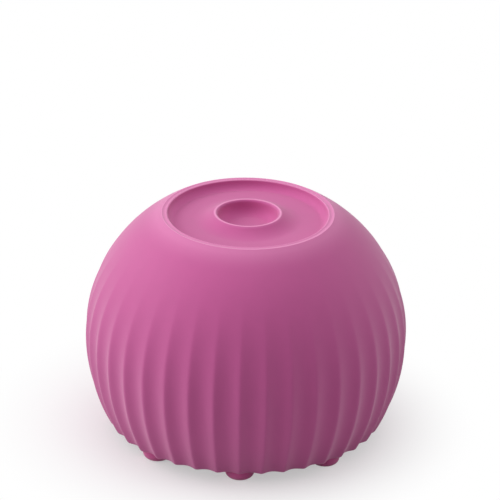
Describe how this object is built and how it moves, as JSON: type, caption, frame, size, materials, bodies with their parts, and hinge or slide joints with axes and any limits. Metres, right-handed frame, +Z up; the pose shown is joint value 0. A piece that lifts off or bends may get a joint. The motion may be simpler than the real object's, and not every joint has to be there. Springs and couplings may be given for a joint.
{
  "type": "nail polish shaker",
  "caption": "Ball-shaped silicone-covered shaker whose dimpled top pad orbits on an eccentric when a small bottle is pressed down on it.",
  "frame": {"origin": "on the table under the middle of the ball, at the undersides of the feet", "axes": "+Z up, -Y the front seen in the picture, +Y the back with the charging port and button, +X to the right seen from the front"},
  "size_m": [0.1099, 0.1103, 0.0794],
  "materials": {
    "silicone": "matte, soft touch",
    "foot_silicone": "matte",
    "shell_plastic": "moulded, fine texture",
    "cover_plastic": "moulded, fine texture",
    "carrier_plastic": "moulded",
    "black_plastic": "moulded",
    "white_plastic": "moulded",
    "bezel_plastic": "moulded, fine texture",
    "button_plastic": "moulded, fine texture",
    "clear_plastic": "frosted clear",
    "steel": "zinc plated",
    "black_steel": "blackened",
    "bearing_steel": "ground",
    "brass_parts": "turned",
    "copper": "turned",
    "motor_case": "drawn",
    "magnet": "sintered",
    "rotor_iron": "lacquered",
    "cell_wrap": "shrink wrap",
    "board": "solder mask",
    "lead_red": "smooth",
    "lead_black": "smooth"
  },
  "bodies": {
    "housing": {"silicone_sleeve": "silicone", "upper_shell": "shell_plastic", "lower_shell": "shell_plastic", "base_cover": "cover_plastic", "carriage_springs": "steel", "guide_screws": "steel", "shell_screws": "steel", "base_screws": "steel", "switch_body": "black_plastic", "battery_cell": "cell_wrap", "battery_holder": "black_plastic", "battery_contacts": "steel", "circuit_board": "board", "board_screws": "steel", "board_chips": "black_plastic", "usb_socket": "steel", "port_bezel": "bezel_plastic", "status_led": "white_plastic", "light_pipe": "clear_plastic", "tact_switch": "black_plastic", "battery_leads": "lead_red", "motor_leads": "lead_black", "foot_1": "foot_silicone", "foot_2": "foot_silicone", "foot_3": "foot_silicone", "foot_4": "foot_silicone", "foot_5": "foot_silicone", "foot_6": "foot_silicone", "foot_7": "foot_silicone", "foot_8": "foot_silicone"},
    "carriage": {"motor_carriage": "carrier_plastic", "motor_can": "motor_case", "motor_end_cap": "black_plastic", "motor_terminals": "brass_parts", "motor_bushes": "brass_parts", "motor_magnets": "magnet", "motor_plate": "steel", "motor_screws": "steel", "plate_screws": "steel", "guide_pins": "bearing_steel"},
    "spindle": {"motor_shaft": "bearing_steel", "motor_rotor": "rotor_iron", "motor_commutator": "copper", "eccentric_hub": "steel", "hub_set_screw": "black_steel", "counterweight": "brass_parts", "counterweight_screws": "steel", "bearing_inner_race": "bearing_steel", "bearing_clip": "steel"},
    "ball_set": {"bearing_balls": "bearing_steel", "ball_cage": "brass_parts"},
    "cup": {"cup_pad": "silicone", "cup_carrier": "carrier_plastic", "bearing_outer_race": "bearing_steel", "bearing_retainer": "steel", "retainer_screws": "steel"},
    "switch_plunger": {"switch_plunger": "white_plastic"},
    "power_button": {"power_button": "button_plastic"},
    "tact_plunger": {"tact_plunger": "white_plastic"}
  },
  "joints": [
    {"name": "cup_press", "type": "slide", "parent": "housing", "child": "carriage", "axis": [0, 0, -1], "range_m": [0, 0.0015], "stiffness_N_per_m": 1200, "springref_m": -0.003, "deforming": ["carriage_springs"]},
    {"name": "spindle_spin", "type": "hinge", "parent": "carriage", "child": "spindle", "pos_m": [0, 0, 0.0555], "axis": [0, 0, 1], "continuous": true},
    {"name": "cup_orbit", "type": "hinge", "parent": "spindle", "child": "cup", "pos_m": [0, 0.0012, 0.0665], "axis": [0, 0, 1], "continuous": true},
    {"name": "ball_cage_spin", "type": "hinge", "parent": "spindle", "child": "ball_set", "pos_m": [0, 0.0012, 0.0665], "axis": [0, 0, 1], "continuous": true},
    {"name": "switch_press", "type": "slide", "parent": "housing", "child": "switch_plunger", "axis": [0, 0, -1], "range_m": [0, 0.0015]},
    {"name": "button_press", "type": "slide", "parent": "housing", "child": "power_button", "axis": [0, -1, 0], "range_m": [0, 0.0005], "stiffness_N_per_m": 2500, "springref_m": -0.0004},
    {"name": "tact_press", "type": "slide", "parent": "housing", "child": "tact_plunger", "axis": [0, -1, 0], "range_m": [0, 0.0005]}
  ],
  "couplings": [
    {"joint": "cup_orbit", "follows": "spindle_spin", "ratio": -1},
    {"joint": "ball_cage_spin", "follows": "spindle_spin", "ratio": -0.6238},
    {"joint": "switch_press", "follows": "cup_press", "ratio": 1},
    {"joint": "tact_press", "follows": "button_press", "ratio": 1}
  ]
}
